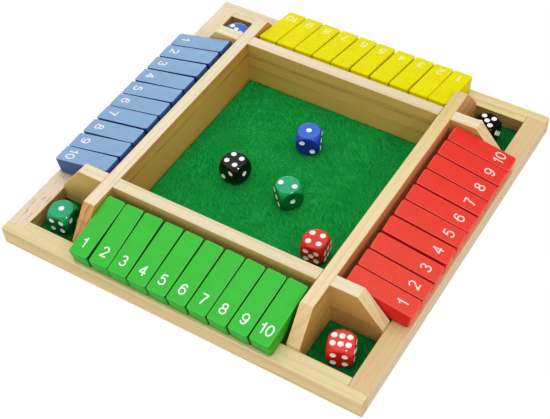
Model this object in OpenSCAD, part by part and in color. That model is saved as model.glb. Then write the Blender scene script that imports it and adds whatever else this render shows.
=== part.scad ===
// Four-player shut the box game: a pine board with a felt dice arena, four dice wells
// and forty numbered tiles that flip over on steel rods. Millimetres, +Z up. The origin is
// the centre of the underside, +X runs along the front rail to the right.

/* [Tiles] */
// Tiles in each of the four rows
tile_count = 10; // [6:1:12]
// Width of a tile along its rod
tile_w = 16; // [14:0.5:20]
// Thickness of a tile
tile_t = 13.6; // [11:0.2:14.4]
// Length of a tile from its rod to the inner end
tile_tail = 11; // [8:0.5:12]
// Radius of the rounded edges all round a tile
tile_r = 1; // [0.6:0.1:2]
// Radius of a tile's four corners, seen from above
tile_corner_r = 2.2; // [2.1:0.1:4]
// Total side play of a row between the walls that hold its rod
row_play = 10; // [8:1:16]

/* [Rods] */
// Diameter of a pivot rod
rod_d = 3; // [2:0.5:4]
// Height of the rods above the underside
rod_z = 30.4; // [28:0.4:32]
// Distance from a rod to the wall behind the tiles
rod_from_wall = 15; // [13.5:0.5:18]
// Wood left at the bottom of each blind rod hole
rod_skin = 3; // [1:0.5:5]
// Clearance all round a rod inside a tile
rod_fit = 0.08; // [0.04:0.01:0.1]
// Clearance all round a rod inside its blind hole
rod_seat_fit = 0.03; // [0.01:0.01:0.1]

/* [Board] */
// Width of an outer rail
rail_w = 15; // [12:1:20]
// Height of an outer rail
rail_h = 15.5; // [12:0.5:18]
// Width of the troughs and the dice wells
trough_w = 40; // [36:1:46]
// Thickness of the base panel
base_t = 3; // [2:0.5:5]
// Width of the step under the rails that takes the base panel
base_step = 5; // [3:1:8]
// Gap round the base panel inside the step
base_gap = 0.3; // [0.1:0.1:0.6]
// Thickness of the felt
felt_t = 0.8; // [0.4:0.1:1.5]
// Gap between the felt and the wood round it
felt_gap = 0.3; // [0.1:0.1:1]

/* [Walls] */
// Height of the walls above the underside
wall_h = 42; // [40:1:50]
// Thickness of the walls
wall_t = 10; // [8:1:14]
// Length over which a wall slopes down to the outer rail
slope_run = 19; // [12:1:21]
// Height of the upright end of a sloped wall above the rail
slope_lip = 2.5; // [0.5:0.5:6]
// Radius of the corner where a wall's top turns down into its slope
slope_r = 2; // [0.5:0.5:5]
// Radius of the eased top edges of rails and walls
edge_r = 0.8; // [0.3:0.1:1.2]

/* [Dice] */
// Width of a die across its flat faces
die_w = 18.8; // [15:0.2:20]
// Height of the rounding ball above each flat face
die_crown = 3.25; // [3:0.05:3.6]
// Diameter of a pip
pip_d = 4.3; // [3:0.1:4.6]
// Depth of a pip
pip_depth = 0.9; // [0.4:0.1:1.2]
// Distance of a corner pip from the middle of its face, each way
pip_step = 4; // [3.4:0.1:4.2]
// Spacing of the three pips in each line of a six
six_step = 5.4; // [4.8:0.1:5.5]
// Distance of each line of a six from the middle of its face
six_line = 3.25; // [2.6:0.05:3.3]

/* [Hidden] */
$fn = 48;
// Gap left between a resting tile and the rail under it
rest_gap = 0.05;
// How far a cut runs past the face it opens
cut = 1;

// Plan of the board, measured from its centre
arena_w = tile_count * tile_w + row_play;
wall_in = arena_w / 2;
wall_out = wall_in + wall_t;
rail_in = wall_out + trough_w;
board_edge = rail_in + rail_w;
rod_y = wall_out + rod_from_wall;
well_mid = (wall_out + rail_in) / 2;
floor_z = base_t + felt_t;
// Width of the half lap where the rails meet at a corner
lap = rail_w / 2;

// A tile reaches the outside of the rail and rests on it by its lower edge
tile_reach = rail_in + rail_w - rod_y;
tile_drop = tile_t / 2 - tile_r;
tile_arm = norm([tile_reach - tile_r, tile_drop]);
rest_drop = rod_z - tile_r - rail_h - rest_gap;
rest_angle = asin(rest_drop / tile_arm) - atan2(tile_drop, tile_reach - tile_r);

// Each row: name, colour, turn about the centre, then how its play is shared out: the
// spaces beside the tiles, from the wall at the player's left to the one at the right
ROWS = [
    ["green", "limegreen", 0, [3, 5, 7, 13, 9, 9, 9, 7, 5, 7, 26]],
    ["red", "tomato", 90, [6, 3, 11, 18, 12, 6, 12, 8, 8, 6, 10]],
    ["yellow", "gold", 180, [10, 3, 9, 9, 15, 14, 10, 9, 6, 5, 10]],
    ["blue", "cornflowerblue", 270, [10, 3, 12, 14, 4, 11, 1, 14, 5, 8, 18]],
];

// Sum of the first spaces of a row. A row of more tiles goes through its list again.
function spaces(row, count) =
    count == 0 ? 0 : spaces(row, count - 1) + row[3][(count - 1) % len(row[3])];

// Dice: name, colour, tilt that brings a face up, turn about the vertical, the corner
// of the board with the die's well ([0, 0] is the arena), then the place there as shares
// of the way from the middle to the walls
DICE = [
    ["die_black_arena", "dimgray", [0, 90, 0], -9.5, [0, 0], [-0.48, -0.19]],
    ["die_green_arena", "seagreen", [-90, 0, 0], 232, [0, 0], [0.19, -0.22]],
    ["die_blue_arena", "royalblue", [0, 0, 0], 20.5, [0, 0], [-0.02, 0.56]],
    ["die_red_arena", "crimson", [0, 90, 0], 187.5, [0, 0], [0.8, -0.7]],
    ["die_green_well", "seagreen", [0, 0, 0], 97, [-1, -1], [-0.44, -0.35]],
    ["die_red_well", "crimson", [180, 0, 0], 108.5, [1, -1], [0.23, -0.34]],
    ["die_black_well", "dimgray", [90, 0, 0], 0.5, [1, 1], [-0.35, 0.18]],
    ["die_blue_well", "royalblue", [0, -90, 0], 111, [-1, 1], [-0.24, 0.04]],
];

// How far a die's corners reach from its middle, and the room that leaves it
die_reach = die_w / 2 + die_crown;
arena_room = wall_in - die_reach;
well_room = trough_w / 2 - die_reach;

// Rectangle from the origin with both upper corners rounded
module top_eased(size, r) {
    square([size.x, size.y - r]);
    translate([r, 0]) square([size.x - 2 * r, size.y]);
    for (x = [r, size.x - r]) translate([x, size.y - r]) circle(r);
}

// Centred rectangle with all four corners rounded
module eased(size, r) {
    square([size.x - 2 * r, size.y], center = true);
    square([size.x, size.y - 2 * r], center = true);
    for (x = [-1, 1], y = [-1, 1])
        translate([x * (size.x / 2 - r), y * (size.y / 2 - r)]) circle(r);
}

// Section of a rail: outer face at x = 0, with the step for the base panel inside
module rail_section() {
    difference() {
        top_eased([rail_w, rail_h], edge_r);
        translate([rail_w - base_step, -cut]) square([base_step + cut, base_t + cut]);
    }
}

// Rail along X at the front of the board
module rail_bar(length) {
    translate([-length / 2, -board_edge, 0])
        rotate([90, 0, 90]) linear_extrude(length) rail_section();
}

// The front and back rails run the full width, and half their width is cut away at
// each end to take the side rails
module long_rail() {
    color("burlywood") difference() {
        rail_bar(2 * board_edge);
        for (side = [0, 1]) mirror([side, 0, 0]) translate([rail_in, -rail_in - lap, -cut])
            cube([rail_w + cut, lap + cut, rail_h + 2 * cut]);
    }
}

module side_rail() {
    color("wheat") rail_bar(2 * (board_edge - lap));
}

module base_board() {
    panel = 2 * (rail_in + base_step - base_gap);
    color("tan") translate([0, 0, base_t / 2]) cube([panel, panel, base_t], center = true);
}

// One felt in the arena and one in each dice well
module felt() {
    arena_felt = arena_w - 2 * felt_gap;
    well_felt = trough_w - 2 * felt_gap;
    color("green") translate([0, 0, base_t + felt_t / 2]) {
        cube([arena_felt, arena_felt, felt_t], center = true);
        for (x = [-1, 1], y = [-1, 1])
            translate([x * well_mid, y * well_mid, 0])
                cube([well_felt, well_felt, felt_t], center = true);
    }
}

// What is cut away at the end of a wall at x = 0 to slope it down to the rail. The
// corner at the top is rounded.
module slope_cut() {
    fall = wall_h - rail_h - slope_lip;
    bend = atan2(fall, slope_run);
    ease = slope_r * tan(bend / 2);
    rotate([90, 0, 0]) linear_extrude(wall_t + cut, center = true) difference() {
        polygon([
            [-slope_run - ease, wall_h],
            [-slope_run + ease * cos(bend), wall_h - ease * sin(bend)],
            [0, wall_h - fall],
            [cut, wall_h - fall],
            [cut, wall_h + cut],
            [-slope_run - ease, wall_h + cut],
        ]);
        translate([-slope_run - ease, wall_h - slope_r]) circle(slope_r);
    }
}

// Wall standing on the base panel along X, from one x to another. An end that meets
// a rail slopes down to it.
module wall(from, to, slope_from, slope_to) {
    difference() {
        translate([from, -wall_t / 2, base_t])
            rotate([90, 0, 90]) linear_extrude(to - from) top_eased([wall_t, wall_h - base_t], edge_r);
        if (slope_to) translate([to, 0, 0]) slope_cut();
        if (slope_from) translate([from, 0, 0]) mirror([1, 0, 0]) slope_cut();
    }
}

// Blind rod hole that opens at a wall's face at y = 0 and goes in along +Y
module rod_hole() {
    rotate([-90, 0, 0]) translate([0, 0, -cut])
        cylinder(h = wall_t - rod_skin + cut, d = rod_d + 2 * rod_seat_fit);
}

// Left or right wall of the arena. It runs on between the front and back rails and
// carries one end of the front rod and of the back rod.
module divider() {
    color("moccasin") rotate([0, 0, 90]) difference() {
        translate([0, -wall_in - wall_t / 2, 0]) wall(-rail_in, rail_in, true, true);
        for (side = [-1, 1])
            translate([side * rod_y, -wall_in, rod_z]) mirror([0, 1, 0]) rod_hole();
    }
}

// Front wall of the arena, between the two dividers
module cross_wall() {
    color("wheat") translate([0, -wall_in - wall_t / 2, 0]) wall(-wall_in, wall_in, false, false);
}

// Short walls that close the dice wells and hold the ends of the left and right rods
module well_cheeks() {
    color("wheat") for (x = [0, 1], y = [0, 1]) mirror([x, 0, 0]) mirror([0, y, 0])
        difference() {
            translate([0, wall_in + wall_t / 2, 0]) wall(wall_out, rail_in, false, true);
            translate([rod_y, wall_in, rod_z]) rod_hole();
        }
}

// Each rod ends on the bottom of two blind holes
module pivot_rods() {
    rod_l = arena_w + 2 * (wall_t - rod_skin);
    color("silver") for (row = ROWS)
        rotate([0, 0, row[2]]) translate([0, -rod_y, rod_z])
            rotate([0, 90, 0]) cylinder(h = rod_l, d = rod_d, center = true);
}

// Turned disc that rounds a corner of a tile, about the upright line through the origin
module tile_corner() {
    rotate_extrude() intersection() {
        eased([2 * tile_corner_r, tile_t], tile_r);
        translate([0, -tile_t / 2]) square([tile_corner_r, tile_t]);
    }
}

// Tile lying flat with its rod along X through the origin and its outer end at -Y. Its
// long and cross sections are rounded rectangles and meet in a turned piece at each corner.
module tile() {
    tile_l = tile_reach + tile_tail;
    inner_w = tile_w - 2 * tile_corner_r;
    inner_l = tile_l - 2 * tile_corner_r;
    difference() {
        translate([0, tile_tail - tile_l / 2, 0]) {
            rotate([90, 0, 90]) linear_extrude(inner_w, center = true) eased([tile_l, tile_t], tile_r);
            rotate([90, 0, 0]) linear_extrude(inner_l, center = true) eased([tile_w, tile_t], tile_r);
            for (x = [-1, 1], y = [-1, 1])
                translate([x * inner_w / 2, y * inner_l / 2, 0]) tile_corner();
        }
        rotate([0, 90, 0]) cylinder(h = tile_w + 2 * cut, d = rod_d + 2 * rod_fit, center = true);
    }
}

// Tile k of a row, resting on the outer rail. Tile 1 is at the player's left.
module row_tile(row, k) {
    play_used = row_play * spaces(row, k) / spaces(row, tile_count + 1);
    x = -wall_in + play_used + tile_w * (k - 0.5);
    color(row[1]) rotate([0, 0, row[2]]) translate([x, -rod_y, rod_z])
        rotate([rest_angle, 0, 0]) tile();
}

// Pip centres on a face, by the number of pips
function pips(n) =
    n == 1 ? [[0, 0]] :
    n == 2 ? [[-pip_step, pip_step], [pip_step, -pip_step]] :
    n == 3 ? [[-pip_step, -pip_step], [0, 0], [pip_step, pip_step]] :
    n == 4 ? [for (x = [-pip_step, pip_step], y = [-pip_step, pip_step]) [x, y]] :
    n == 5 ? concat(pips(4), pips(1)) :
    [for (x = [-six_line, six_line], y = [-six_step, 0, six_step]) [x, y]];

// Each face of a die: its pips and the turn that brings it up from the top. Opposite
// faces add up to seven.
FACES = [
    [1, [0, 0, 0]],
    [2, [90, 0, 0]],
    [3, [90, 0, 90]],
    [5, [90, 0, 180]],
    [4, [90, 0, 270]],
    [6, [180, 0, 0]],
];

// Die about its centre, with one up, two in front and three at the right: a cube
// rounded by a ball, with shallow drilled pips
module die() {
    pip_ball = (pow(pip_d / 2, 2) + pow(pip_depth, 2)) / (2 * pip_depth);
    difference() {
        intersection() {
            cube(die_w, center = true);
            sphere(die_reach);
        }
        for (face = FACES) rotate(face[1]) for (pip = pips(face[0]))
            translate([pip.x, pip.y, die_w / 2 + pip_ball - pip_depth]) sphere(pip_ball);
    }
}

// A die of the table, standing on the felt of the arena or of its well
module placed_die(spec) {
    corner = spec[4];
    place = corner * well_mid + spec[5] * (corner == [0, 0] ? arena_room : well_room);
    color(spec[1]) translate([place.x, place.y, floor_z + die_w / 2])
        rotate([0, 0, spec[3]]) rotate(spec[2]) die();
}

base_board();
felt();
long_rail();  // rail_front
rotate([0, 0, 180]) long_rail();  // rail_back
rotate([0, 0, 270]) side_rail();  // rail_left
rotate([0, 0, 90]) side_rail();  // rail_right
divider();  // divider_right
rotate([0, 0, 180]) divider();  // divider_left
cross_wall();  // cross_wall_front
rotate([0, 0, 180]) cross_wall();  // cross_wall_back
well_cheeks();
pivot_rods();
for (row = ROWS, k = [1:tile_count])
    row_tile(row, k);
for (die = DICE) placed_die(die);
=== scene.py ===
# %% [markdown]
# A four-player shut the box game. Four rows of ten painted wooden tiles hang on steel
# rods round a square arena lined with green felt, and each corner has a small well for a
# die. The board is clear-varnished pine.
#
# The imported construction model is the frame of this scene. It gives every piece its
# place and the body that it moves with. Pieces whose shape is right there, such as the
# rails and walls, only get a finish here. Tiles, felts and dice are made anew, because
# the real ones have looks that a construction model leaves out.

from math import cos, pi, radians, sin

import bmesh
import bpy
from mathutils import Matrix, Vector, noise


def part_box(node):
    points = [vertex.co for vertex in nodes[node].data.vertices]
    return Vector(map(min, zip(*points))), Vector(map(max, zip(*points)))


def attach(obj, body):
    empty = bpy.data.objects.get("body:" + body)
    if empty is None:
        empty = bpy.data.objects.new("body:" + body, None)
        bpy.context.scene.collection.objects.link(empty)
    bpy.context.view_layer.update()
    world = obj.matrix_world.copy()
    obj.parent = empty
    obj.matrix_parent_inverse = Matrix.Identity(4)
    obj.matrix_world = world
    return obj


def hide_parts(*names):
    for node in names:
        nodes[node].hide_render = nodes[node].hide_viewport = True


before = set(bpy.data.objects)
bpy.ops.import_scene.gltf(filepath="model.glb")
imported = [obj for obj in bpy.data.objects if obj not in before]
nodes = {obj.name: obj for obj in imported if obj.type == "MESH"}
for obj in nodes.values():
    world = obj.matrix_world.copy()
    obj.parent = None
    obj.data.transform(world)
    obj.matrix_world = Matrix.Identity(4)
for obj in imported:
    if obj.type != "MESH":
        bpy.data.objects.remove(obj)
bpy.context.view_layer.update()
MM = 0.001


def side_of(node, side, axis):
    """A side of a frame node's box in millimetres. side is 0 for low and 1 for high."""
    return round(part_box(node)[side][axis] / MM, 2)


# Half the arena's width, then the outer face of its walls and the inner face of the rails
ARENA_HALF = -side_of("divider_left", 1, 0)
WALL_OUT = -side_of("divider_left", 0, 0)
RAIL_IN = -side_of("rail_left", 1, 0)
WELL_MID = (WALL_OUT + RAIL_IN) / 2
print("arena", 2 * ARENA_HALF, "mm wide, wells", RAIL_IN - WALL_OUT, "mm wide")

# %% [markdown]
# Every finish below is a node material. Colours are written as the sRGB hex values that
# a colour picker shows, and shaders want linear light, so one function converts them.
# A second one adds a node with its settings and links and hands back the output that
# the next node takes in, which keeps each finish readable as a short list of steps.

# %% Helpers for finishes


def colour(hex_value):
    """Linear colour of an sRGB hex value such as "c08040"."""
    parts = [int(hex_value[i : i + 2], 16) / 255 for i in (0, 2, 4)]
    linear = [c / 12.92 if c <= 0.04045 else ((c + 0.055) / 1.055) ** 2.4 for c in parts]
    return (*linear, 1.0)


def grey(value):
    return (value, value, value, 1.0)


def spread_out(colours):
    """Stops of a colour ramp that spreads hex colours such as "c08040 d09050" evenly."""
    colours = colours.split()
    return [(i / max(1, len(colours) - 1), colour(shade)) for i, shade in enumerate(colours)]


def add(tree, kind, inputs=None, out=0, stops=None, **settings):
    """Adds a node and returns its output number out. An input is given by name or
    number, as a value or as an output to link. stops are a colour ramp's positions
    and colours."""
    made = tree.nodes.new(kind)
    for name, value in settings.items():
        setattr(made, name, value)
    for name, value in (inputs or {}).items():
        if isinstance(value, bpy.types.NodeSocket):
            tree.links.new(value, made.inputs[name])
        else:
            made.inputs[name].default_value = value
    if stops:
        ramp = made.color_ramp.elements
        while len(ramp) < len(stops):
            ramp.new(0.5)
        while len(ramp) > len(stops):
            ramp.remove(ramp[-1])
        for element, (position, stop) in zip(ramp, stops):
            element.position = position
            element.color = stop
    return made.outputs[out]


def blank_material(name, roughness, specular):
    """A material with only a Principled shader, and a point on the piece in millimetres."""
    made = bpy.data.materials.new(name)
    made.use_nodes = True
    tree = made.node_tree
    shader = tree.nodes["Principled BSDF"]
    shader.inputs["Roughness"].default_value = roughness
    shader.inputs["IOR"].default_value = 1.5
    shader.inputs["Specular IOR Level"].default_value = specular
    place = add(tree, "ShaderNodeTexCoord").node.outputs["Object"]
    point = add(tree, "ShaderNodeVectorMath", {0: place, "Scale": 1000.0}, operation="SCALE")
    return made, tree, shader.inputs, point


# %% [markdown]
# Pine is pale wood with darker late wood at the end of each year's growth. One way to
# paint it is a stripe pattern, but then the sawn ends show stripes too. Here the growth
# rings are real cylinders round the middle of an imagined trunk that runs along the
# piece. Long faces cut them into streaks and sawn ends into arcs, as in a real board.
#
# No two sticks of a board are alike. Each gets the colours of its sanded upper edge, of its broad faces and
# of its sawn ends. The broad faces are painted darker and more olive than the upper edges: partly the
# wood's own deeper honey colour, partly painted shade where the upright faces get less light. Several
# colours follow each other along the piece. A few sticks have a dark line from one hard winter, which comes
# and goes where the saw has met it.

# %% Clear-varnished pine


PINE_HALF = 125  # the colours along a piece are spread over this far from its middle
WAVE_RING = 0.314  # width of the wave texture's rings at scale 1
LATE_WOOD, FIBRES, RESIN, WINTER, SHADOW = "b07a3c", "a9773f", "80482a", "8a5a20", "6a4a24"


def directions(tree, turn):
    """How much a face looks up and how much along the piece, each from 0 to 1."""
    facing = add(tree, "ShaderNodeTexCoord", out=1)
    facing = add(tree, "ShaderNodeMapping", {"Vector": facing, "Rotation": turn}, vector_type="NORMAL")
    facing = add(tree, "ShaderNodeSeparateXYZ", {0: facing}).node.outputs
    lengthwise = add(tree, "ShaderNodeMath", {0: facing["X"]}, operation="ABSOLUTE")
    return [
        add(
            tree,
            "ShaderNodeMapRange",
            {"Value": share, "From Min": low, "From Max": high},
            interpolation_type="SMOOTHSTEP",
        )
        for share, low, high in ((facing["Z"], 0.35, 0.85), (lengthwise, 0.4, 0.6))
    ]


def late_wood(tree, trunk, ring):
    """Darkness of the year rings. A ring darkens slowly outwards and ends sharply, and
    some years grew darker."""
    growth = add(
        tree,
        "ShaderNodeTexWave",
        {"Vector": trunk, "Scale": WAVE_RING / ring, "Distortion": 5.0, "Detail": 2.0, "Detail Scale": 0.7},
        out=1,
        wave_type="RINGS",
        rings_direction="X",
        wave_profile="SAW",
    )
    late = add(
        tree,
        "ShaderNodeValToRGB",
        {"Fac": growth},
        stops=[(0, grey(0)), (0.5, grey(0.12)), (0.86, grey(0.7)), (0.96, grey(1)), (1, grey(0))],
    )
    years = add(tree, "ShaderNodeTexNoise", {"Vector": trunk, "Scale": 0.09, "Detail": 1.0})
    years = add(
        tree, "ShaderNodeMapRange", {"Value": years, "From Min": 0.3, "From Max": 0.7, "To Min": 0.2}
    )
    return add(tree, "ShaderNodeMath", {0: late, 1: years}, operation="MULTIPLY")


def resin_canals(tree, own, far, strength):
    """Short dark dashes that thin out along the piece."""
    dashes = add(tree, "ShaderNodeMapping", {"Vector": own, "Scale": (0.08, 1, 1)})
    dashes = add(tree, "ShaderNodeTexNoise", {"Vector": dashes, "Scale": 1.5, "Detail": 0.0})
    shown = {"Value": dashes, "From Min": 0.71, "From Max": 0.76, "To Max": strength}
    dashes = add(tree, "ShaderNodeMapRange", shown)
    thinned = add(tree, "ShaderNodeMath", {0: 1.0, 1: far}, operation="SUBTRACT")
    return add(tree, "ShaderNodeMath", {0: dashes, 1: thinned}, operation="MULTIPLY")


def winter_lines(tree, own, where, winters):
    """Darkness of each winter, a thin sheet in the wood that wanders and fades."""
    sway = add(tree, "ShaderNodeMapping", {"Vector": own, "Scale": (1, 0, 0)})
    sway = add(tree, "ShaderNodeTexNoise", {"Vector": sway, "Scale": 0.016, "Detail": 2.0})
    shown = add(tree, "ShaderNodeMapRange", {"Value": sway, "From Min": 0.42, "From Max": 0.56})
    sway = add(tree, "ShaderNodeMath", {0: sway, 1: 0.5}, operation="SUBTRACT")
    lines = []
    for axis, at, wander, width, strength in winters:
        line = add(tree, "ShaderNodeMath", {0: sway, 1: 2 * wander, 2: at}, operation="MULTIPLY_ADD")
        line = add(tree, "ShaderNodeMath", {0: where[axis], 1: line}, operation="SUBTRACT")
        line = add(tree, "ShaderNodeMath", {0: line}, operation="ABSOLUTE")
        faded = {"Value": line, "From Min": width, "From Max": 0, "To Max": strength}
        line = add(tree, "ShaderNodeMapRange", faded)
        lines.append(add(tree, "ShaderNodeMath", {0: line, 1: shown}, operation="MULTIPLY"))
    return lines


def seam_shadow(tree, where, seam):
    """A hair-thin shadow across the piece, as far from its middle as seam says."""
    off = add(tree, "ShaderNodeMath", {0: where["X"]}, operation="ABSOLUTE")
    off = add(tree, "ShaderNodeMath", {0: off, 1: seam}, operation="SUBTRACT")
    off = add(tree, "ShaderNodeMath", {0: off}, operation="ABSOLUTE")
    faded = {"Value": off, "From Min": 0.5, "From Max": 0.15, "To Max": 0.35}
    return add(tree, "ShaderNodeMapRange", faded)


def pine(
    name, along, edge, face, end, heart,
    ring=4.5, rings=0.35, end_rings=0.5, dashes=0.12, seam=0, winters=(),
):
    """Pine sawn along X or Y. heart is the trunk's middle (across, up), ring the width
    of a year, rings and dashes how strongly they show, all in millimetres or shares.
    seam is where a neighbour stops against it, the same on both halves. winters are
    dark lines: across Y or up Z, where, how far each wanders, how wide and how strong."""
    made, tree, shader, point = blank_material(name, roughness=0.5, specular=0.3)
    turn = (0, 0, radians(-90) if along == "Y" else 0)
    own = add(tree, "ShaderNodeMapping", {"Vector": point, "Rotation": turn})
    where = add(tree, "ShaderNodeSeparateXYZ", {0: own}).node.outputs
    upward, endward = directions(tree, turn)

    # Colour of the bare wood by face and by place along the piece. Upright faces are painted darker than
    # upper edges, partly as painted shade.
    far = add(
        tree, "ShaderNodeMapRange", {"Value": where["X"], "From Min": -PINE_HALF, "From Max": PINE_HALF}
    )
    side_tone_and_shade, edge_tone, end_tone = (
        add(tree, "ShaderNodeValToRGB", {"Fac": far}, stops=spread_out(tones))
        for tones in (face, edge, end)
    )
    wood = add(tree, "ShaderNodeMix", {0: upward, 6: side_tone_and_shade, 7: edge_tone}, out=2, data_type="RGBA")
    wood = add(tree, "ShaderNodeMix", {0: endward, 6: wood, 7: end_tone}, out=2, data_type="RGBA")

    # The rings show more on broad faces than on sanded edges
    trunk = add(
        tree,
        "ShaderNodeMapping",
        {"Vector": own, "Location": (0, -heart[0], -heart[1]), "Scale": (0.1, 1, 1)},
    )
    shown = add(tree, "ShaderNodeMapRange", {"Value": upward, "To Min": 1.7 * rings, "To Max": rings})
    shown = add(tree, "ShaderNodeMix", {0: endward, 2: shown, 3: end_rings})
    streaks = late_wood(tree, trunk, ring)
    streaks = add(tree, "ShaderNodeMath", {0: streaks, 1: shown}, operation="MULTIPLY")

    # Fibres are half a millimetre wide and centimetres long
    grain = add(tree, "ShaderNodeMapping", {"Vector": own, "Scale": (0.03, 1, 1)})
    bundle = {"Vector": grain, "Scale": 1.6, "Detail": 4.0, "Roughness": 0.65}
    fibre = add(tree, "ShaderNodeTexNoise", bundle)
    shown = {"Value": fibre, "From Min": 0.3, "From Max": 0.7, "To Max": 0.16}
    fine = add(tree, "ShaderNodeMapRange", shown)

    canals = resin_canals(tree, own, far, dashes)
    darker = [(streaks, LATE_WOOD), (fine, FIBRES), (canals, RESIN)]
    if winters:
        darker += [(line, WINTER) for line in winter_lines(tree, own, where, winters)]
    if seam:
        darker.append((seam_shadow(tree, where, seam), SHADOW))
    for share, tone in darker:
        wood = add(
            tree,
            "ShaderNodeMix",
            {0: share, 6: wood, 7: colour(tone)},
            out=2,
            data_type="RGBA",
            blend_type="MULTIPLY",
        )
    tree.links.new(wood, shader["Base Color"])
    relief = add(tree, "ShaderNodeBump", {"Height": fibre, "Distance": 0.05 * MM, "Strength": 1.0})
    tree.links.new(relief, shader["Normal"])
    return made


def finish_node(node, material):
    """Gives a frame node its material. The node's own mesh stays as it is."""
    thing = nodes[node]
    thing.data.materials.clear()
    thing.data.materials.append(material)


# Colours go from left to right or from front to back. Each wood is named for its node.
WOODS = {
    "rail_front": pine(
        "pine, front rail", "X", "e9d7a6 e9d9a4", "e8cf98", "d6b878", (-60, -40), rings=0.25,
    ),
    "rail_back": pine("pine, back rail", "X", "e5d8b4 e5d497", "b89450", "d6b878", (70, -60)),
    "rail_left": pine(
        "pine, left rail", "Y", "edd9b9", "bd9650", "c9a468", (40, -35), rings=0.2, dashes=1.0,
    ),
    "rail_right": pine(
        "pine, right rail", "Y", "dcc08c dcc28e", "dbc5a0", "c9a468", (30, -30), rings=0.15,
    ),
    "divider_left": pine(
        "pine, left wall", "Y", "f7e5c7 eee2c2 e9dabb", "c69b4a d4a955 cd8f35", "dcaa64", (30, 20),
        rings=0.3, end_rings=1.0, winters=[("Z", 30, 3, 2.2, 0.5), ("Z", 5, 0.5, 1.4, 0.5)],
    ),
    "divider_right": pine(
        "pine, right wall", "Y", "f4dcb3 ecd7a6 dbc47d", "bf9a46 dea76c d8a05c",
        "efd296 efd296 f6dca8", (-45, 60), ring=6, end_rings=0.25,
    ),
    "cross_wall_front": pine(
        "pine, front wall", "X", "ece2be e4d7ae", "dcb76f d9b264", "c9a468", (-50, 60),
        ring=6, seam=ARENA_HALF,
    ),
    "cross_wall_back": pine(
        "pine, back wall", "X", "f0e2c7 dfcb9e", "c9a54d deba61 e4c168", "c9a468", (60, 10),
        ring=7, rings=0.25, seam=ARENA_HALF, winters=[("Z", 29.5, 1.5, 0.7, 0.8)],
    ),
    "well_cheeks": pine(
        "pine, well walls", "X", "eee4c0 ecdfbc", "e8c878 d09f55", "f4e6c4 e6cc98", (25, 10),
        ring=5, dashes=0.1,
    ),
    "base_board": pine("pine, base panel", "X", "d9c08c", "d9c08c", "c9a468", (0, -80), ring=7),
}
for node, wood in WOODS.items():
    finish_node(node, wood)
print("pine pieces:", len(WOODS))

# %% [markdown]
# The rods are cut from drawn steel wire. Drawing leaves a smooth, slightly scratched
# surface along the length, so metallic is 1 and roughness is low but not a mirror's.

# %% Drawn steel rods
steel, tree, shader, point = blank_material("drawn steel", roughness=0.3, specular=0.5)
shader["Metallic"].default_value = 1.0
scratches = add(tree, "ShaderNodeTexNoise", {"Vector": point, "Scale": 3.0, "Detail": 3.0})
drawn = [(0.3, colour("c6c6c8")), (0.7, colour("dcdcde"))]
steel_tone = add(tree, "ShaderNodeValToRGB", {"Fac": scratches}, stops=drawn)
tree.links.new(steel_tone, shader["Base Color"])
finish_node("pivot_rods", steel)

# %% [markdown]
# A mesh helper turns a finished bmesh into a piece. Each piece's object stays at the
# origin with its place in its mesh, as the frame's own nodes do, so that patterns on
# Object coordinates stay put and the piece exports where it stands. Tiles and dice are
# first made once as a blank, and a Boolean takes their bore or pips out of it.

# %% Helpers for pieces


def mesh_of(shape, name):
    """Mesh of a bmesh, which is used up."""
    mesh = bpy.data.meshes.new(name)
    shape.to_mesh(mesh)
    shape.free()
    return mesh


def carved(blank, tool, **settings):
    """Mesh that is left of a blank when a tool's shape is taken out. Both are meshes."""
    block, bit = (bpy.data.objects.new(mesh.name, mesh) for mesh in (blank, tool))
    for thing in (block, bit):
        bpy.context.scene.collection.objects.link(thing)
    cut = block.modifiers.new("cut", "BOOLEAN")
    cut.operation = "DIFFERENCE"
    for name, value in settings.items():
        setattr(cut, name, value)
    cut.object = bit
    bpy.context.view_layer.update()
    seen = block.evaluated_get(bpy.context.evaluated_depsgraph_get())
    made = bpy.data.meshes.new_from_object(seen)
    bpy.data.objects.remove(block)
    bpy.data.objects.remove(bit)
    return made


def piece(name, shape, materials, body, smooth=None):
    """Makes an object of a bmesh and lets it ride on a body. smooth is in degrees."""
    mesh = mesh_of(shape, name)
    for material in materials:
        mesh.materials.append(material)
    if smooth:
        mesh.shade_smooth()
        mesh.set_sharp_from_angle(angle=radians(smooth))
    made = bpy.data.objects.new(name, mesh)
    bpy.context.scene.collection.objects.link(made)
    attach(made, body)
    return made


# %% [markdown]
# The arena and the four wells are lined with green needle felt. A felt is a mat of
# short fibres without a weave, so up close it is a tangle of fine streaks, lighter and
# darker, that swirl slightly. A fine grid pushed down here and there gives it a soft,
# uneven surface, and the material draws two layers of fibres that cross each other.
# Each felt was cut 0.3 mm short of the walls on every side. The felts of the wells are painted darker, as
# painted shade from the walls round them.

# %% Green felt
FELT_TOP = side_of("felt", 1, 2)
FELT_THICK = FELT_TOP - side_of("felt", 0, 2)
FELT_GAP = 0.3
DIP = 0.12  # the surface lies this far down on average and dips by as much again
BED = 0.25  # left out of the thickness, so that no dip reaches the base panel
ARENA_FELT = 2 * (ARENA_HALF - FELT_GAP)
WELL_FELT = RAIL_IN - WALL_OUT - 2 * FELT_GAP


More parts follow.
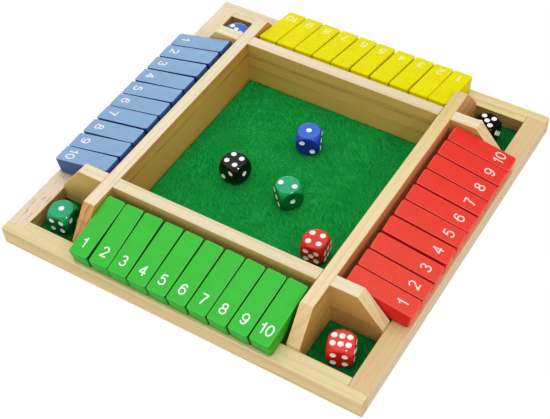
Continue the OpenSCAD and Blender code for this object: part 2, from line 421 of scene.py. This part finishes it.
def needle_felt(name, greens):
    """Felt of several greens, from the deepest fibres to the lightest."""
    made, tree, shader, point = blank_material(name, roughness=1.0, specular=0.0)
    swirl = add(tree, "ShaderNodeTexNoise", {"Vector": point, "Scale": 0.014, "Detail": 1.0}, out=1)
    swirl = add(tree, "ShaderNodeVectorMath", {0: swirl, "Scale": 60.0}, operation="SCALE")
    bent = add(tree, "ShaderNodeVectorMath", {0: point, 1: swirl}, operation="ADD")
    layers = []
    for angle in (25, 60):
        laid = add(tree, "ShaderNodeMapping", {"Vector": bent, "Rotation": (0, 0, radians(angle))})
        laid = add(tree, "ShaderNodeMapping", {"Vector": laid, "Scale": (0.1, 1, 1)})
        layer = {"Vector": laid, "Scale": 1.1, "Detail": 3.0, "Roughness": 0.6}
        layers.append(add(tree, "ShaderNodeTexNoise", layer))
    fibres = add(tree, "ShaderNodeMath", {0: layers[0], 1: layers[1]}, operation="ADD")
    cloud = add(tree, "ShaderNodeTexNoise", {"Vector": point, "Scale": 0.05, "Detail": 3.0})
    mixed = add(tree, "ShaderNodeMath", {0: cloud, 1: 0.35, 2: fibres}, operation="MULTIPLY_ADD")
    shade = add(tree, "ShaderNodeMapRange", {"Value": mixed, "From Min": 0.775, "From Max": 1.575})
    green = add(tree, "ShaderNodeValToRGB", {"Fac": shade}, stops=spread_out(greens))
    tree.links.new(green, shader["Base Color"])
    relief = add(tree, "ShaderNodeBump", {"Height": fibres, "Distance": 0.1 * MM, "Strength": 1.0})
    tree.links.new(relief, shader["Normal"])
    return made


def felt_sheet(name, x, y, size, cells, felt):
    """A felt centred on (x, y), cut to a square of the given size in millimetres."""
    shape = bmesh.new()
    bmesh.ops.create_grid(shape, x_segments=cells, y_segments=cells, size=size / 2)
    bmesh.ops.translate(shape, verts=shape.verts, vec=(x, y, FELT_TOP))
    for vert in shape.verts:
        vert.co.z -= DIP + DIP * noise.noise(vert.co * 0.35)
    bmesh.ops.scale(shape, verts=shape.verts, vec=(MM, MM, MM))
    made = piece(name, shape, [felt], "board", smooth=60)
    rim = made.modifiers.new("thickness", "SOLIDIFY")
    rim.thickness = (FELT_THICK - BED) * MM
    rim.offset = -1
    return made


arena_green = needle_felt("needle felt of the arena", "08692b 148b39 2aa94c")
# The wells' felt is painted darker, as painted shade from the walls round the wells.
shaded_well_green = needle_felt("needle felt of the wells", "06501f 0d6b2a 1d8439")
arena_felt = felt_sheet("arena_felt", 0, 0, ARENA_FELT, 120, arena_green)
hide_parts("felt")
for die, x, y in (("green", -1, -1), ("red", 1, -1), ("black", 1, 1), ("blue", -1, 1)):
    felt_sheet(f"well_felt_{die}", WELL_MID * x, WELL_MID * y, WELL_FELT, 28, shaded_well_green)
print("felts: one of", ARENA_FELT, "mm and four of", WELL_FELT, "mm square")

# %% [markdown]
# A tile is a block of wood, 51 mm long. Its four corners are rounded in plan and all its
# rims are eased. The block is a cube scaled to size, whose four upright edges are
# bevelled first and then everything else. A Boolean drills the bore, once, and the
# drilled blank is copied forty times. The bore is wider than the rod, which lets the
# tiles sit slightly askew, each by its own angle. They are not in line on the real game
# either.

# %% Tile blank
TILE_W, TILE_T, TAIL, REACH = 15.9, 13.6, 11.0, 40.0
CORNER, RIM, BORE = 2.0, 0.8, 4.0
# The rims' coat is painted paler as a highlight, and the sides' coat darker as painted shade.
TOP, SIDES, ENDS, PALE_RIM_HIGHLIGHT = range(4)


def part_of(normal):
    """Which part of a tile a face belongs to, by the way it looks. The underside is
    painted like the sides."""
    if normal.z > 0.99:
        return TOP
    if normal.z > 0.7:
        return PALE_RIM_HIGHLIGHT
    return ENDS if abs(normal.y) > 0.6 else SIDES


def tile_blank():
    """Mesh of a bored tile in millimetres, rod along X, outer end at -Y."""
    shape = bmesh.new()
    bmesh.ops.create_cube(shape, size=1)
    bmesh.ops.scale(shape, verts=shape.verts, vec=(TILE_W, REACH + TAIL, TILE_T))
    bmesh.ops.translate(shape, verts=shape.verts, vec=(0, (TAIL - REACH) / 2, 0))
    eased = {"profile": 0.5, "affect": "EDGES", "material": -1}
    upright = [e for e in shape.edges if abs(e.verts[0].co.z - e.verts[1].co.z) > 1]
    bmesh.ops.bevel(shape, geom=upright, offset=CORNER, segments=5, **eased)
    rims = [e for e in shape.edges if abs(e.verts[0].co.z - e.verts[1].co.z) < 1]
    bmesh.ops.bevel(shape, geom=rims, offset=RIM, segments=4, **eased)
    for face in shape.faces:
        face.material_index = part_of(face.normal)
    drill = bmesh.new()
    round_bar = {"radius1": BORE / 2, "radius2": BORE / 2, "depth": 2 * TILE_W}
    bmesh.ops.create_cone(drill, cap_ends=True, segments=32, **round_bar)
    bmesh.ops.rotate(drill, verts=drill.verts, matrix=Matrix.Rotation(pi / 2, 3, "Y"))
    return carved(mesh_of(shape, "tile blank"), mesh_of(drill, "drill"))


BLANK = tile_blank()
print("tile blank:", len(BLANK.polygons), "faces")

# %% [markdown]
# The tiles are sprayed with a thick semi-matt paint. It fills the grain but not quite,
# so the surface has faint ridges along the wood and small lighter and darker patches.
# Light is painted into the coats: the tops, the sides, the ends and the upper rims each get a colour of
# their own. The sides are painted darker than the tops, as painted shade, and the sides that face each
# other have a shade of their own: that painted shade is what makes the narrow gaps between the tiles look
# so dark. The two outermost sides of a row stand free and are painted apart, in most rows paler. The upper
# rims are painted paler than the tops, as a painted highlight.

# %% Semi-matt paint


def paint(name, shades, grain, specular=0.1):
    """Paint over wood whose grain runs along X or Y. shades are spread over the row,
    which runs across the grain, and every shade is mottled a little."""
    made, tree, shader, point = blank_material(name, roughness=0.45, specular=specular)
    stretch, row = ((0.12, 1, 1), "Y") if grain == "X" else ((1, 0.12, 1), "X")
    fibres = add(tree, "ShaderNodeMapping", {"Vector": point, "Scale": stretch})
    ridge = {"Vector": fibres, "Scale": 1.5, "Detail": 3.0, "Roughness": 0.6}
    ridges = add(tree, "ShaderNodeTexNoise", ridge)
    patches = add(tree, "ShaderNodeTexNoise", {"Vector": point, "Scale": 0.12, "Detail": 4.0})
    both = add(tree, "ShaderNodeMath", {0: ridges, 1: patches}, operation="ADD")
    both = add(tree, "ShaderNodeMapRange", {"Value": both, "From Min": 0.7, "From Max": 1.3})
    both = add(tree, "ShaderNodeMapRange", {"Value": both, "To Min": 0.94, "To Max": 1.06})
    where = add(tree, "ShaderNodeSeparateXYZ", {0: point}).node.outputs[row]
    where = add(
        tree, "ShaderNodeMapRange", {"Value": where, "From Min": -ARENA_HALF, "From Max": ARENA_HALF}
    )
    base = add(tree, "ShaderNodeValToRGB", {"Fac": where}, stops=spread_out(shades))
    mottled = add(tree, "ShaderNodeVectorMath", {0: base, "Scale": both}, operation="SCALE")
    tree.links.new(mottled, shader["Base Color"])
    relief = add(tree, "ShaderNodeBump", {"Height": ridges, "Distance": 0.03 * MM, "Strength": 1.0})
    tree.links.new(relief, shader["Normal"])
    return made


def outermost(free, gap_shade):
    """Shades of a row's sides: there are nine gaps, whose sides carry a painted shade, and two sides that
    stand free.
    """
    return " ".join([free] + [gap_shade] * 10 + [free])


# Each row's tops, sides with painted shade in the gaps, ends, upper rims painted paler as a highlight, its
# grain and the paint's shine. The red tops go from paler at the front to deeper at the back, a painted
# sheen.
PAINTS = {
    "green": ("3ebd3d", outermost("3aa71c", "14700c"), "30a529", "4ec54c", "Y", 0.1),
    "red": ("e34838 e43025", outermost("d8241a", "c0140c"), "f04a3a", "e5564a", "X", 0.1),
    "yellow": ("e4dc00", outermost("dccb00", "e0d000"), "e0d400", "e4dc00", "Y", 0.02),
    "blue": ("88abd0", outermost("435d8e", "243c80"), "4460a0", "8fb1d6", "X", 0.1),
}

# %% [markdown]
# The numbers are plain white printed figures. They could be text objects, but the built
# in typeface has a different 1, 6 and 9. Each figure here is a few strokes of one pen,
# and a stroke is a flat ribbon along a path. Where the path bends, the ribbon's two
# sides meet on the line that halves the bend, so that it keeps its width.

# %% Figures
FIGURE_W, FIGURE_H, PEN, INK = 4.45, 7.45, 1.05, 0.05
PITCH = 5.3  # from one figure of a number to the next
LIFT = 0.004  # how much higher each stroke's ink lies, so that none shares a plane


def arc(cx, cy, rx, ry, start, end):
    """Points of an elliptic arc in a figure's unit box, angles in degrees."""
    count = max(6, int(abs(end - start) / 15))
    angles = [radians(start + (end - start) * i / count) for i in range(count + 1)]
    return [(cx + rx * cos(a), cy + ry * sin(a)) for a in angles]


FIGURES = {
    "0": [arc(0.5, 0.5, 0.5, 0.5, 0, 360)],
    "1": [[(0.6, -0.06), (0.6, 1.06)], [(0.6, 0.96), (0.42, 0.80), (0.1, 0.70)]],
    "2": [arc(0.5, 0.72, 0.48, 0.28, 168, -28) + [(0.02, 0.02)], [(-0.1, 0), (1.04, 0)]],
    "3": [arc(0.48, 0.755, 0.42, 0.245, 165, -90), arc(0.48, 0.265, 0.5, 0.265, 96, -165)],
    "4": [[(0.74, -0.06), (0.74, 1.0)], [(0.74, 1.0), (0.0, 0.27)], [(-0.08, 0.27), (1.1, 0.27)]],
    "5": [[(0.96, 1), (0.16, 1)], [(0.2, 1.0), (0.06, 0.5)], arc(0.46, 0.32, 0.52, 0.33, 142, -160)],
    "6": [arc(0.5, 0.31, 0.5, 0.31, 0, 360), arc(0.54, 0.48, 0.54, 0.52, 38, 200)],
    "7": [[(-0.06, 1), (1.0, 1)], [(1.0, 1.0), (0.62, 0.55), (0.38, -0.06)]],
    "8": [arc(0.5, 0.76, 0.41, 0.24, 0, 360), arc(0.5, 0.27, 0.5, 0.27, 0, 360)],
    "9": [arc(0.5, 0.69, 0.5, 0.31, 0, 360), arc(0.46, 0.52, 0.54, 0.52, 218, 380)],
}


def stroke(shape, points, left, low, lift):
    """Adds one pen stroke of a figure whose lower left corner is at (left, low). The
    path's last point is its first where the stroke is closed."""
    path = [Vector((left + x * FIGURE_W, low + y * FIGURE_H)) for x, y in points]
    closed = (path[0] - path[-1]).length < 0.01
    if closed:
        path.pop()
    sections = []
    for i, here in enumerate(path):
        ahead = path[(i + 1) % len(path)] - here if closed or i + 1 < len(path) else None
        behind = here - path[i - 1] if closed or i else None
        ways = [way.normalized() for way in (behind, ahead) if way]
        heading = sum(ways, Vector((0, 0))).normalized()
        reach = PEN / 2 / heading.dot(ways[0])
        side = Vector((-heading.y, heading.x)) * reach
        top = INK + lift
        corners = ((here + side, -INK), (here - side, -INK), (here - side, top), (here + side, top))
        sections.append([shape.verts.new((*spot, TILE_T / 2 + up)) for spot, up in corners])
    for a, b in zip(sections, sections[1:] + sections[: 1 if closed else 0]):
        for j in range(4):
            shape.faces.new((a[j - 1], a[j], b[j], b[j - 1]))
    if not closed:
        shape.faces.new(sections[0])
        shape.faces.new(sections[-1])


def number_shape(number, middle, low):
    """The figures of a number side by side on a tile's top, with their middle at x."""
    shape = bmesh.new()
    start = middle - (FIGURE_W + PITCH * (len(number) - 1)) / 2
    for i, figure in enumerate(number):
        for j, points in enumerate(FIGURES[figure]):
            stroke(shape, points, start + PITCH * i, low, LIFT * j)
    bmesh.ops.recalc_face_normals(shape, faces=shape.faces)
    return shape


def printing_ink(name, thin, full):
    """White ink, worn thin in places."""
    made, tree, shader, point = blank_material(name, roughness=0.45, specular=0.2)
    wear = add(tree, "ShaderNodeTexNoise", {"Vector": point, "Scale": 1.2, "Detail": 3.0})
    tones = [(0.35, colour(thin)), (0.65, colour(full))]
    white = add(tree, "ShaderNodeValToRGB", {"Fac": wear}, stops=tones)
    tree.links.new(white, shader["Base Color"])
    return made


ink = printing_ink("white printing ink", "eaeee8", "f8faf6")
faded = printing_ink("white printing ink, yellowed", "f0ea98", "f6f0b4")
thin_ink = printing_ink("white printing ink, thin over red", "ecc8c4", "f6e0dc")
INKS = {"green": ink, "red": thin_ink, "yellow": faded, "blue": ink}

# %% [markdown]
# Each row is laid out in its own frame: x runs along the rod to the player's right, and
# the row is then turned to its side of the board. A tile hangs on its rod and its lower
# edge rests on the outer rail, which tilts it down by 12.1 degrees. The two numbers of
# each tile are its place on the rod in millimetres and its own small turn in degrees.

# %% The forty tiles
ROD_R = (side_of("pivot_rods", 1, 2) - side_of("pivot_rods", 0, 2)) / 2
ROD_Z = round(side_of("pivot_rods", 0, 2) + ROD_R, 1)
ROD_Y = round(side_of("pivot_rods", 1, 1) - ROD_R, 1)
TILT = 12.11
ROWS = {
    "green": (0, [(-76.66, -0.19), (-60.17, 2.04), (-43.49, 1.19), (-26.22, 0.21), (-9.32, -0.55),
                  (7.61, -1.14), (24.5, -1.56), (41.05, -2.0), (57.72, -2.1), (74.36, -1.78)]),
    "red": (90, [(-76.4, 1.5), (-59.93, 1.6), (-43.02, 2.01), (-25.24, 2.25), (-7.99, 2.18),
                 (8.68, 1.54), (25.86, 1.63), (42.6, 1.04), (59.45, 1.2), (76.0, 0.7)]),
    "yellow": (180, [(-76.2, 0.17), (-60.05, 0.6), (-42.84, 0.01), (-25.87, 0.45), (-8.36, 0.9),
                     (8.99, -0.3), (26.06, 0.04), (43.0, 0.7), (59.6, 0.7), (76.2, 0.5)]),
    "blue": (270, [(-76.2, 2.1), (-59.58, 1.8), (-42.47, 1.3), (-25.08, 0.3), (-8.68, 1.52),
                   (8.2, 0.6), (24.6, 0.3), (41.95, 0.33), (58.41, 2.18), (75.23, 1.12)]),
}
# Where the numbers were printed, from the rod's middle over each tile
PRINTED = {
    "green": (-0.3, -32.6), "red": (-0.3, -32.6), "yellow": (-0.3, -33.4), "blue": (-0.3, -32.6),
}


def place_of(turn, x, yaw):
    """Where a tile made round the origin goes, in metres."""
    return (
        Matrix.Scale(MM, 4)
        @ Matrix.Rotation(radians(turn), 4, "Z")
        @ Matrix.Translation((x, -ROD_Y, ROD_Z))
        @ Matrix.Rotation(radians(TILT), 4, "X")
        @ Matrix.Rotation(radians(yaw), 4, "Z")
    )


for row, (turn, tiles) in ROWS.items():
    *shades, grain, shine = PAINTS[row]
    parts = zip(("tops", "sides", "ends", "rims"), shades)
    coats = [paint(f"{row} paint, {part}", shade, grain, shine) for part, shade in parts]
    for k, (x, yaw) in enumerate(tiles, 1):
        place = place_of(turn, x, yaw)
        shape = bmesh.new()
        shape.from_mesh(BLANK)
        shape.transform(place)
        name = f"{row}_tile_{k}"
        tile = piece(f"{name}_painted", shape, coats, name, smooth=30)
        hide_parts(name)
        shape = number_shape(str(k), *PRINTED[row])
        shape.transform(place)
        piece(f"{name}_number", shape, [INKS[row]], name)
print("tiles:", sum(len(tiles) for _, tiles in ROWS.values()), "on rods at", ROD_Y, ROD_Z, "mm")

# %% [markdown]
# The dice are moulded plastic: where a cube of 18.8 mm and a ball overlap, so that round
# flats are left on a ball, with drilled and painted pips. A finely divided cube is drawn
# in to the nearer of the two, and where both are equally near the change is gentle, as
# polishing leaves it. The pips are shallow cups, taken out by one Boolean whose white
# material stays on the cut.

# %% Die blank
DIE, BALL, POLISH, PIP, PIP_DEEP = 18.8, 12.65, 40, 4.3, 0.6
STEP, SIX_STEP, SIX_LINE = 4.0, 5.4, 3.25
CORNER_PIPS = [(-STEP, -STEP), (-STEP, STEP), (STEP, -STEP), (STEP, STEP)]
# Each face's pips, and the turn that brings it from the top to its place
FACES = [
    ([(0, 0)], (0, 0, 0)),
    ([(-STEP, STEP), (STEP, -STEP)], (90, 0, 0)),
    ([(-STEP, -STEP), (0, 0), (STEP, STEP)], (90, 0, 90)),
    (CORNER_PIPS + [(0, 0)], (90, 0, 180)),
    (CORNER_PIPS, (90, 0, 270)),
    ([(x, y) for x in (-SIX_LINE, SIX_LINE) for y in (-SIX_STEP, 0, SIX_STEP)], (180, 0, 0)),
]


def turned(angles):
    """Rotation by angles about X, then Y, then Z, in degrees."""
    x, y, z = (radians(a) for a in angles)
    return Matrix.Rotation(z, 4, "Z") @ Matrix.Rotation(y, 4, "Y") @ Matrix.Rotation(x, 4, "X")


def die_blank():
    """Mesh of a die in millimetres, material 0 the plastic and 1 the pips."""
    shape = bmesh.new()
    bmesh.ops.create_cube(shape, size=2)
    bmesh.ops.subdivide_edges(shape, edges=shape.edges, cuts=35, use_grid_fill=True)
    for vert in shape.verts:
        way = vert.co.normalized()
        cube = DIE / 2 / max(abs(share) for share in way)
        vert.co = way * (cube**-POLISH + BALL**-POLISH) ** (-1 / POLISH)
    cups = bmesh.new()
    radius = ((PIP / 2) ** 2 + PIP_DEEP**2) / (2 * PIP_DEEP)
    for pips, angles in FACES:
        for x, y in pips:
            at = turned(angles) @ Matrix.Translation((x, y, DIE / 2 + radius - PIP_DEEP))
            bmesh.ops.create_uvsphere(cups, u_segments=32, v_segments=24, radius=radius, matrix=at)
    blank, tool = mesh_of(shape, "die blank"), mesh_of(cups, "cups")
    for mesh, stand_in in ((blank, "plastic stand-in"), (tool, "pip stand-in")):
        mesh.materials.append(bpy.data.materials.new(stand_in))
    return carved(blank, tool, material_mode="TRANSFER", use_self=True)


DIE_BLANK = die_blank()
print("die blank:", len(DIE_BLANK.polygons), "faces,", len(DIE_BLANK.materials), "materials")

# %% [markdown]
# The plastic is polished, so it takes sharp small highlights and a bright rim where it reflects the room at
# a low angle. Its colour is painted by which way a face looks: paler on the top flat as a painted sheen, in
# full colour round it, and deep on the sides as painted shade. Its colour has a faint cloudiness. Pip paint
# is a matt white that has gathered a little grey in the cups, and a faint glow, painted light, keeps it
# white on shaded sides too.

# %% Dice


def plastic(name, shades, specular=0.25, roughness=0.1):
    """Polished plastic. shades go from the deep sides over the upper edges to the top: painted shade on the
    sides and a painted sheen on top.
    """
    made, tree, shader, point = blank_material(name, roughness, specular)
    cloud = add(tree, "ShaderNodeTexNoise", {"Vector": point, "Scale": 0.25, "Detail": 3.0})
    facing = add(tree, "ShaderNodeTexCoord", out=1)
    up = add(tree, "ShaderNodeSeparateXYZ", {0: facing}, out=2)
    # Paler towards the top and deep on the sides: painted sheen and painted shade.
    painted_sheen_share = add(tree, "ShaderNodeMath", {0: cloud, 1: 0.2, 2: up}, operation="MULTIPLY_ADD")
    deep, edge, top = (colour(shade) for shade in shades.split())
    tones = [(0, deep), (0.65, edge), (0.93, edge), (1, top)]
    painted_sheen_tone = add(tree, "ShaderNodeValToRGB", {"Fac": painted_sheen_share}, stops=tones)
    tree.links.new(painted_sheen_tone, shader["Base Color"])
    fine = add(tree, "ShaderNodeTexNoise", {"Vector": point, "Scale": 2.5, "Detail": 2.0})
    relief = add(tree, "ShaderNodeBump", {"Height": fine, "Distance": 0.006 * MM, "Strength": 1.0})
    tree.links.new(relief, shader["Normal"])
    return made


PLASTICS = {
    "black": plastic("black moulded plastic", "030304 09090a 161617"),
    "dull black": plastic(
        "black moulded plastic, duller", "040405 060606 080808", specular=0.03, roughness=0.25
    ),
    "green": plastic("green moulded plastic", "04582f 0b9c50 2aa878"),
    "blue": plastic("blue moulded plastic", "16268a 2a48c8 3a6ccd"),
    "red": plastic("red moulded plastic", "b81408 e22a18 e0392f"),
}
pip_paint, tree, shader, point = blank_material("white pip paint", roughness=0.5, specular=0.3)
dust = add(tree, "ShaderNodeTexNoise", {"Vector": point, "Scale": 1.0, "Detail": 3.0})
tones = [(0.3, colour("e8e6e0")), (0.7, colour("f4f3f0"))]
pip_white = add(tree, "ShaderNodeValToRGB", {"Fac": dust}, stops=tones)
tree.links.new(pip_white, shader["Base Color"])
tree.links.new(pip_white, shader["Emission Color"])
shader["Emission Strength"].default_value = 0.08

# Room that a die's middle has in the arena and in a well, from their middles
ARENA_ROOM = ARENA_HALF - BALL
WELL_ROOM = (RAIL_IN - WALL_OUT) / 2 - BALL
# Each die's plastic, the tilt that brings a face up, its spin, the corner of the board
# with its well, where (0, 0) is the arena, and its place there as shares of the room
DICE = {
    "die_black_arena": ("black", (0, 90, 0), -9.5, (0, 0), (-0.48, -0.19)),
    "die_green_arena": ("green", (-90, 0, 0), 232, (0, 0), (0.19, -0.22)),
    "die_blue_arena": ("blue", (0, 0, 0), 20.5, (0, 0), (-0.02, 0.56)),
    "die_red_arena": ("red", (0, 90, 0), 187.5, (0, 0), (0.8, -0.7)),
    "die_green_well": ("green", (0, 0, 0), 97, (-1, -1), (-0.44, -0.35)),
    "die_red_well": ("red", (180, 0, 0), 108.5, (1, -1), (0.23, -0.34)),
    "die_black_well": ("dull black", (90, 0, 0), 0.5, (1, 1), (-0.35, 0.18)),
    "die_blue_well": ("blue", (0, -90, 0), 201, (-1, 1), (-0.24, 0.04)),
}
for name, (shade, tilt, spin, corner, share) in DICE.items():
    room = ARENA_ROOM if corner == (0, 0) else WELL_ROOM
    x, y = (corner[i] * WELL_MID + share[i] * room for i in (0, 1))
    shape = bmesh.new()
    shape.from_mesh(DIE_BLANK)
    shape.transform(
        Matrix.Scale(MM, 4)
        @ Matrix.Translation((x, y, FELT_TOP + DIE / 2))
        @ Matrix.Rotation(radians(spin), 4, "Z")
        @ turned(tilt)
    )
    die = piece(f"{name}_moulded", shape, [PLASTICS[shade], pip_paint], name, smooth=25)
    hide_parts(name)
print("dice:", len(DICE))

# %% [markdown]
# The game stands on a plain white sweep. The camera looks down on it from the front
# right. To the camera and in reflections the floor is nearly white by itself, so that it
# needs no extra light, and a share of real shading keeps the game's soft shadow on it.

# %% Floor, light and camera
shape = bmesh.new()
bmesh.ops.create_grid(shape, x_segments=1, y_segments=1, size=4)
floor_mesh = mesh_of(shape, "floor")
floor = bpy.data.objects.new("floor", floor_mesh)
bpy.context.scene.collection.objects.link(floor)
paper = bpy.data.materials.new("white paper sweep")
paper.use_nodes = True
tree = paper.node_tree
matt = tree.nodes["Principled BSDF"]
matt.inputs["Base Color"].default_value = colour("f4f4f4")
matt.inputs["Roughness"].default_value = 0.9
matt.inputs["Specular IOR Level"].default_value = 0.0


def seen_directly(tree):
    """1 where a ray comes from the camera, a reflection or through glass, else 0."""
    ray = add(tree, "ShaderNodeLightPath").node.outputs
    seen = ray["Is Camera Ray"]
    for other in ("Is Glossy Ray", "Is Transmission Ray"):
        seen = add(tree, "ShaderNodeMath", {0: seen, 1: ray[other]}, operation="MAXIMUM")
    return seen


share = add(tree, "ShaderNodeMath", {0: seen_directly(tree), 1: 0.9}, operation="MULTIPLY")
glow = add(tree, "ShaderNodeEmission", {"Color": grey(1), "Strength": 1.03})
mixed = add(tree, "ShaderNodeMixShader", {0: share, 1: matt.outputs[0], 2: glow})
tree.links.new(mixed, tree.nodes["Material Output"].inputs["Surface"])
floor_mesh.materials.append(paper)

world = bpy.data.worlds.new("room")
bpy.context.scene.world = world
world.use_nodes = True
tree = world.node_tree
fill = add(tree, "ShaderNodeBackground", {"Color": grey(1), "Strength": 0.8})
white = add(tree, "ShaderNodeBackground", {"Color": grey(1), "Strength": 1.0})
mixed = add(tree, "ShaderNodeMixShader", {0: seen_directly(tree), 1: fill, 2: white})
tree.links.new(mixed, tree.nodes["World Output"].inputs["Surface"])


def soft_box(name, at, size, watts, mirrored=False):
    """A square lamp aimed at the middle of the board. A mirrored one shows only in
    reflections and puts no light on matt surfaces."""
    lamp = bpy.data.lights.new(name, "AREA")
    lamp.size = size
    lamp.energy = watts
    made = bpy.data.objects.new(name, lamp)
    made.location = at
    made.rotation_euler = (-Vector(at)).to_track_quat("-Z", "Y").to_euler()
    made.visible_diffuse = not mirrored
    bpy.context.scene.collection.objects.link(made)


soft_box("overhead", (-0.15, 0.2, 1.5), 1.4, 6)
soft_box("key", (1.28, -0.52, 1.15), 0.15, 3.5)
soft_box("window", (1.25, -0.62, 1.15), 0.24, 34, mirrored=True)
soft_box("far wall", (-0.78, 1.15, 0.56), 0.5, 2.5, mirrored=True)

# Where the photo was taken from, in metres and degrees, and its lens in millimetres
CAMERA_AT, CAMERA_TURN, LENS = (0.33415, -0.4989, 0.64436), (41.7151, 2.5714, 31.7286), 75.563
lens = bpy.data.cameras.new("camera")
lens.sensor_width = 36
lens.lens = LENS
camera = bpy.data.objects.new("camera", lens)
camera.location = CAMERA_AT
camera.rotation_euler = [radians(angle) for angle in CAMERA_TURN]
bpy.context.scene.collection.objects.link(camera)
bpy.context.scene.camera = camera
bpy.context.scene.view_settings.view_transform = "Standard"
